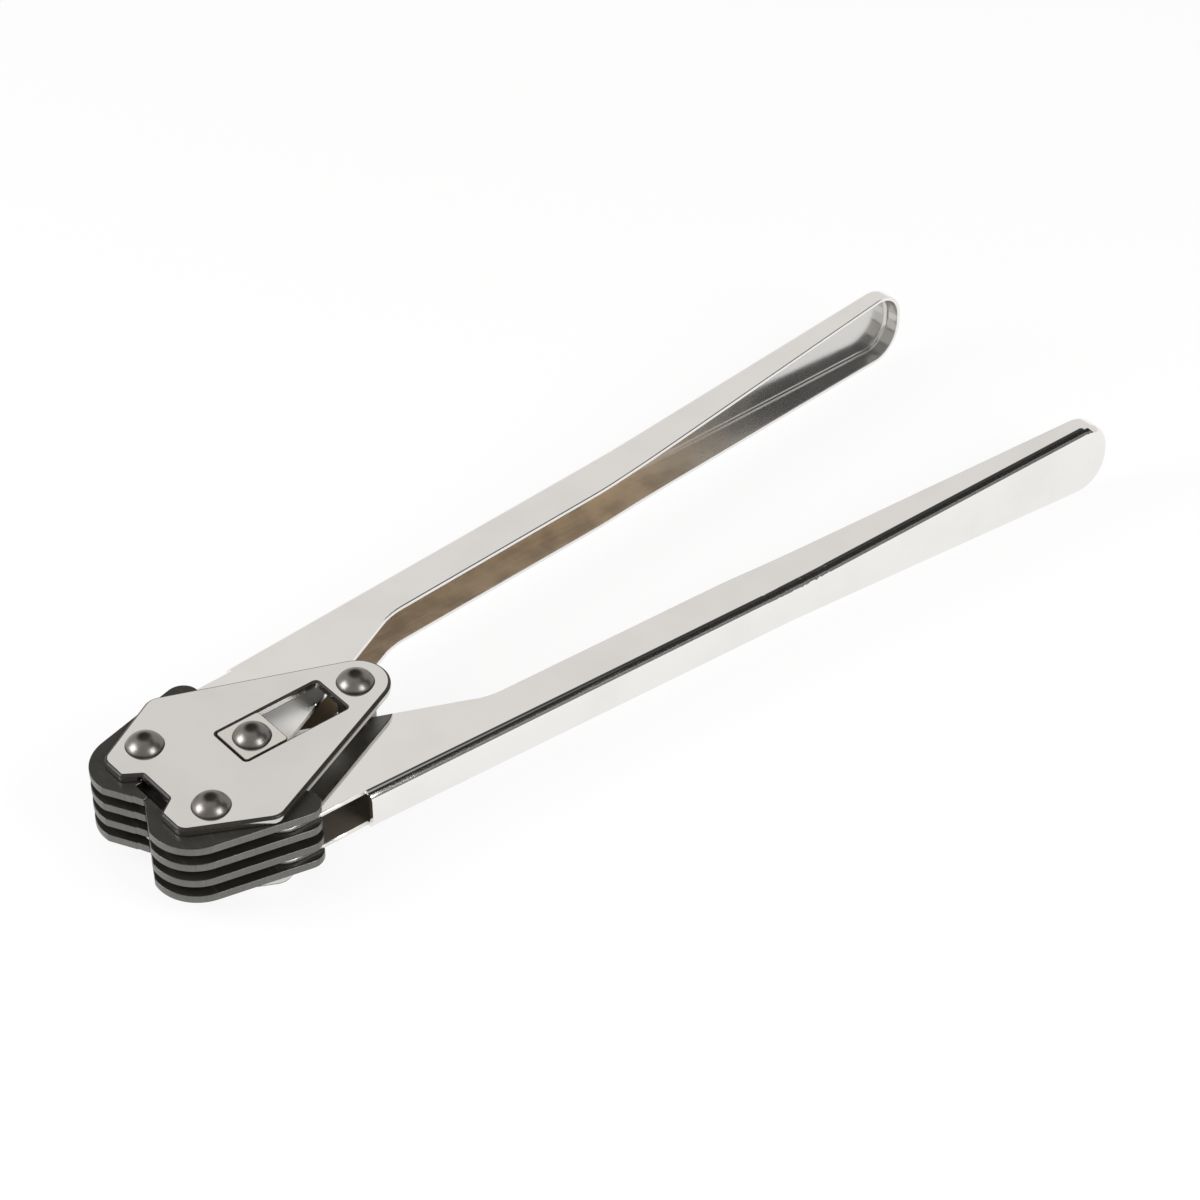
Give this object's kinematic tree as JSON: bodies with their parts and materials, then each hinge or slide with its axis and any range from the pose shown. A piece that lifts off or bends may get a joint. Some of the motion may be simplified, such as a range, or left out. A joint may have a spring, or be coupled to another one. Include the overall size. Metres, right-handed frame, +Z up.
{
  "type": "strapping sealer",
  "caption": "Hand strapping sealer: channel handles with flared grips close laminated jaws between riveted cheek plates to crimp a metal seal on strap.",
  "frame": {"origin": "on the ground under the middle of the tool's length, between the two handles, level with the lowest rivet heads", "axes": "+X from the jaws to the grips, +Y from the near handle to the far handle, +Z up through the cheek plates with the tool lying flat"},
  "size_m": [0.3255, 0.0978, 0.0311],
  "materials": {
    "plated_plate": "nickel-plated, polished, with light handling scratches",
    "plated_handle": "nickel-plated pressed sheet, polished outside",
    "blackened_jaw": "blackened hardened steel with ground edges",
    "rivet_steel": "dark bright-rolled steel round heads",
    "guide_steel": "ground steel",
    "inner_steel": "plain oiled steel"
  },
  "bodies": {
    "head": {"top_plate": "plated_plate", "bottom_plate": "plated_plate", "near_jaw_rivet": "rivet_steel", "far_jaw_rivet": "rivet_steel", "rear_rivet": "rivet_steel", "rear_spacer": "inner_steel", "upper_anvil_plate": "inner_steel", "middle_anvil_plate": "inner_steel", "lower_anvil_plate": "inner_steel"},
    "centre": {"centre_pin": "rivet_steel", "upper_guide_block": "guide_steel", "lower_guide_block": "guide_steel", "centre_spacer": "inner_steel"},
    "near_jaw": {"near_jaw_plate_1": "blackened_jaw", "near_jaw_plate_2": "blackened_jaw", "near_jaw_plate_3": "blackened_jaw", "near_jaw_plate_4": "blackened_jaw", "near_link_pin": "inner_steel", "near_link_spacer": "inner_steel", "near_link_washers": "inner_steel"},
    "far_jaw": {"far_jaw_plate_1": "blackened_jaw", "far_jaw_plate_2": "blackened_jaw", "far_jaw_plate_3": "blackened_jaw", "far_jaw_plate_4": "blackened_jaw", "far_link_pin": "inner_steel", "far_link_spacer": "inner_steel", "far_link_washers": "inner_steel"},
    "near_handle": {"near_handle": "plated_handle"},
    "far_handle": {"far_handle": "plated_handle"}
  },
  "joints": [
    {"name": "centre_slide", "type": "slide", "parent": "head", "child": "centre", "axis": [1, 0, 0], "range_m": [0, 0.0155]},
    {"name": "near_handle_hinge", "type": "hinge", "parent": "centre", "child": "near_handle", "pos_m": [-0.12175, 0, 0.01555], "axis": [0, 0, -1], "range_deg": [0, 40]},
    {"name": "far_handle_hinge", "type": "hinge", "parent": "centre", "child": "far_handle", "pos_m": [-0.12175, 0, 0.01555], "axis": [0, 0, 1], "range_deg": [0, 40]},
    {"name": "near_jaw_hinge", "type": "hinge", "parent": "head", "child": "near_jaw", "pos_m": [-0.14575, -0.0155, 0.01555], "axis": [0, 0, 1], "range_deg": [0, 30.5]},
    {"name": "far_jaw_hinge", "type": "hinge", "parent": "head", "child": "far_jaw", "pos_m": [-0.14575, 0.0155, 0.01555], "axis": [0, 0, -1], "range_deg": [0, 30.5]}
  ],
  "couplings": [
    {"joint": "centre_slide", "follows": "near_handle_hinge", "m_per_rad": 0.02219},
    {"joint": "far_handle_hinge", "follows": "near_handle_hinge", "ratio": 1},
    {"joint": "near_jaw_hinge", "follows": "near_handle_hinge", "ratio": 0.7577},
    {"joint": "far_jaw_hinge", "follows": "near_handle_hinge", "ratio": 0.7577}
  ]
}
